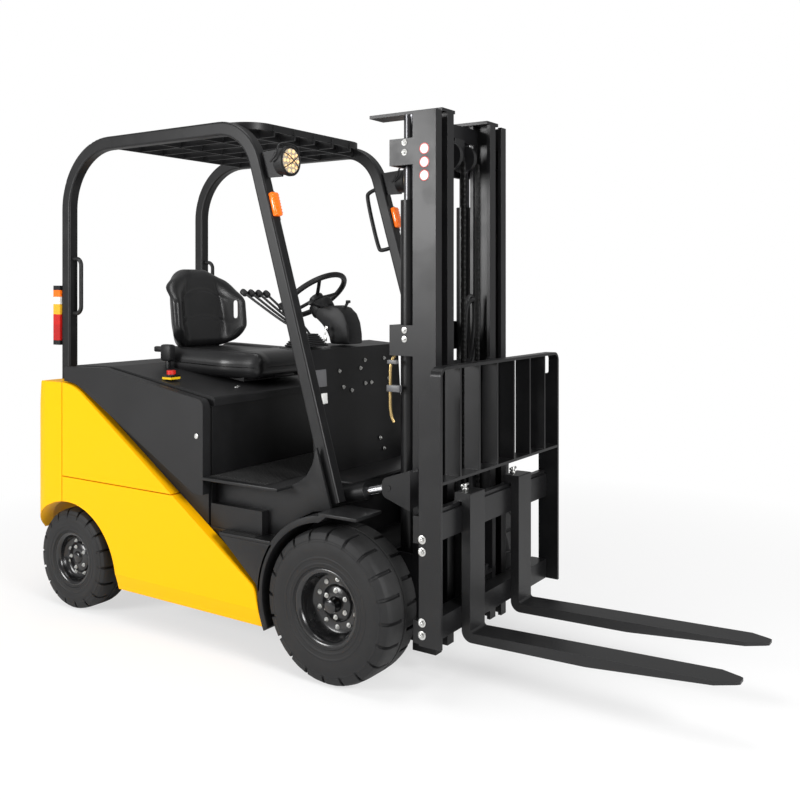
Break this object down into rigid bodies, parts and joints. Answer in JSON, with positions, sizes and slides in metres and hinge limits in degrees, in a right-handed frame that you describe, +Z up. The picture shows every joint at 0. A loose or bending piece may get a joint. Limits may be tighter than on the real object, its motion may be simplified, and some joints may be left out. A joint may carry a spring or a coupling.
{
  "type": "electric forklift truck",
  "caption": "Four-wheel electric counterbalance forklift with two-stage mast, twin forks, load backrest and overhead guard.",
  "frame": {"origin": "centre of the truck's footprint with its forks, on the ground", "axes": "+X forward to the fork tips, +Y to the left side, +Z up"},
  "size_m": [2.993, 1.072, 2.0049],
  "materials": {
    "yellow_paint": "gloss yellow paint",
    "black_paint": "satin black paint",
    "mast_black": "semi-gloss black paint",
    "fork_black": "satin black paint",
    "black_plastic": "grained black plastic",
    "seat_vinyl": "black vinyl",
    "tyre_rubber": "matt black rubber",
    "rim_black": "gloss black paint",
    "steel": "bright steel",
    "chrome_rod": "chromed rod",
    "chain_steel": "oiled steel",
    "lamp_lens": "clear lens",
    "amber_lens": "amber lens",
    "red_lens": "red and white lens",
    "battery_steel": "painted steel case",
    "red_button": "red plastic"
  },
  "bodies": {
    "root": {"chassis": "black_paint", "floor_plate": "black_paint", "body_walls": "black_paint", "drive_axle": "black_paint", "steer_axle": "black_paint", "side_skirts": "yellow_paint", "side_panels": "yellow_paint", "counterweight": "yellow_paint", "battery_covers": "black_plastic", "battery_case": "black_paint", "battery": "battery_steel", "front_fenders": "black_paint", "guard_hoops": "black_paint", "guard_roof": "black_paint", "front_cowl": "black_paint", "steering_column": "black_plastic", "control_levers": "black_plastic", "pedals": "black_paint", "headlamps": "lamp_lens", "turn_lamps": "amber_lens", "rear_lamps": "red_lens", "grab_handles": "black_plastic", "emergency_stop": "red_button"},
    "front_wheel_right": {"tyre_front_right": "tyre_rubber", "rim_front_right": "rim_black"},
    "front_wheel_left": {"tyre_front_left": "tyre_rubber", "rim_front_left": "rim_black"},
    "steer_knuckle_right": {"knuckle_right": "black_paint"},
    "steer_knuckle_left": {"knuckle_left": "black_paint"},
    "rear_wheel_right": {"tyre_rear_right": "tyre_rubber", "rim_rear_right": "rim_black"},
    "rear_wheel_left": {"tyre_rear_left": "tyre_rubber", "rim_rear_left": "rim_black"},
    "steering_wheel_body": {"steering_wheel": "black_plastic"},
    "hood_body": {"hood": "black_plastic", "seat_base": "black_paint", "seat_cushion": "seat_vinyl", "seat_back": "seat_vinyl"},
    "mast": {"outer_mast": "mast_black", "lift_barrels": "mast_black"},
    "mast_upper": {"inner_mast": "mast_black", "lift_rods": "chrome_rod", "chain_wheels": "steel", "lift_chains": "chain_steel"},
    "fork_carriage": {"carriage": "mast_black", "load_backrest": "mast_black", "fork_right": "fork_black", "fork_left": "fork_black"},
    "tilt_cylinder_right": {"tilt_barrel_right": "mast_black"},
    "tilt_cylinder_left": {"tilt_barrel_left": "mast_black"},
    "tilt_piston_right": {"tilt_rod_right": "chrome_rod"},
    "tilt_piston_left": {"tilt_rod_left": "chrome_rod"}
  },
  "joints": [
    {"name": "front_wheel_right_spin", "type": "hinge", "parent": "root", "child": "front_wheel_right", "pos_m": [0.2035, -0.436, 0.267], "axis": [0, 1, 0], "continuous": true},
    {"name": "front_wheel_left_spin", "type": "hinge", "parent": "root", "child": "front_wheel_left", "pos_m": [0.2035, 0.436, 0.267], "axis": [0, 1, 0], "continuous": true},
    {"name": "steer_right", "type": "hinge", "parent": "root", "child": "steer_knuckle_right", "pos_m": [-1.1745, -0.32, 0.212], "axis": [0, 0, 1], "range_deg": [-75, 75]},
    {"name": "steer_left", "type": "hinge", "parent": "root", "child": "steer_knuckle_left", "pos_m": [-1.1745, 0.32, 0.212], "axis": [0, 0, 1], "range_deg": [-75, 75]},
    {"name": "rear_wheel_right_spin", "type": "hinge", "parent": "steer_knuckle_right", "child": "rear_wheel_right", "pos_m": [-1.1745, -0.436, 0.212], "axis": [0, 1, 0], "continuous": true},
    {"name": "rear_wheel_left_spin", "type": "hinge", "parent": "steer_knuckle_left", "child": "rear_wheel_left", "pos_m": [-1.1745, 0.436, 0.212], "axis": [0, 1, 0], "continuous": true},
    {"name": "steering_wheel_turn", "type": "hinge", "parent": "root", "child": "steering_wheel_body", "pos_m": [-0.2665, 0, 1.33], "axis": [-0.6157, 0, 0.788], "continuous": true},
    {"name": "hood_open", "type": "hinge", "parent": "root", "child": "hood_body", "pos_m": [-1.1865, 0, 0.996], "axis": [0, -1, 0], "range_deg": [0, 55]},
    {"name": "mast_tilt", "type": "hinge", "parent": "root", "child": "mast", "pos_m": [0.2035, 0, 0.267], "axis": [0, 1, 0], "range_deg": [-10, 6]},
    {"name": "mast_lift", "type": "slide", "parent": "mast", "child": "mast_upper", "axis": [0, 0, 1], "range_m": [-0.066, 1.45]},
    {"name": "carriage_lift", "type": "slide", "parent": "mast_upper", "child": "fork_carriage", "axis": [0, 0, 1], "range_m": [-0.066, 1.45], "deforming": ["lift_chains"]},
    {"name": "tilt_barrel_right_swing", "type": "hinge", "parent": "root", "child": "tilt_cylinder_right", "pos_m": [-0.0715, -0.335, 0.556], "axis": [0, 1, 0], "range_deg": [-6.16, 3.9]},
    {"name": "tilt_rod_right_slide", "type": "slide", "parent": "tilt_cylinder_right", "child": "tilt_piston_right", "axis": [0.967, 0, 0.2548], "range_m": [-0.06361, 0.03897]},
    {"name": "tilt_barrel_left_swing", "type": "hinge", "parent": "root", "child": "tilt_cylinder_left", "pos_m": [-0.0715, 0.335, 0.556], "axis": [0, 1, 0], "range_deg": [-6.16, 3.9]},
    {"name": "tilt_rod_left_slide", "type": "slide", "parent": "tilt_cylinder_left", "child": "tilt_piston_left", "axis": [0.967, 0, 0.2548], "range_m": [-0.06361, 0.03897]}
  ],
  "couplings": [
    {"joint": "steer_left", "follows": "steer_right", "ratio": 1},
    {"joint": "carriage_lift", "follows": "mast_lift", "ratio": 1},
    {"joint": "tilt_barrel_right_swing", "follows": "mast_tilt", "ratio": 0.566},
    {"joint": "tilt_rod_right_slide", "follows": "mast_tilt", "m_per_rad": 0.353},
    {"joint": "tilt_barrel_left_swing", "follows": "mast_tilt", "ratio": 0.566},
    {"joint": "tilt_rod_left_slide", "follows": "mast_tilt", "m_per_rad": 0.353}
  ]
}
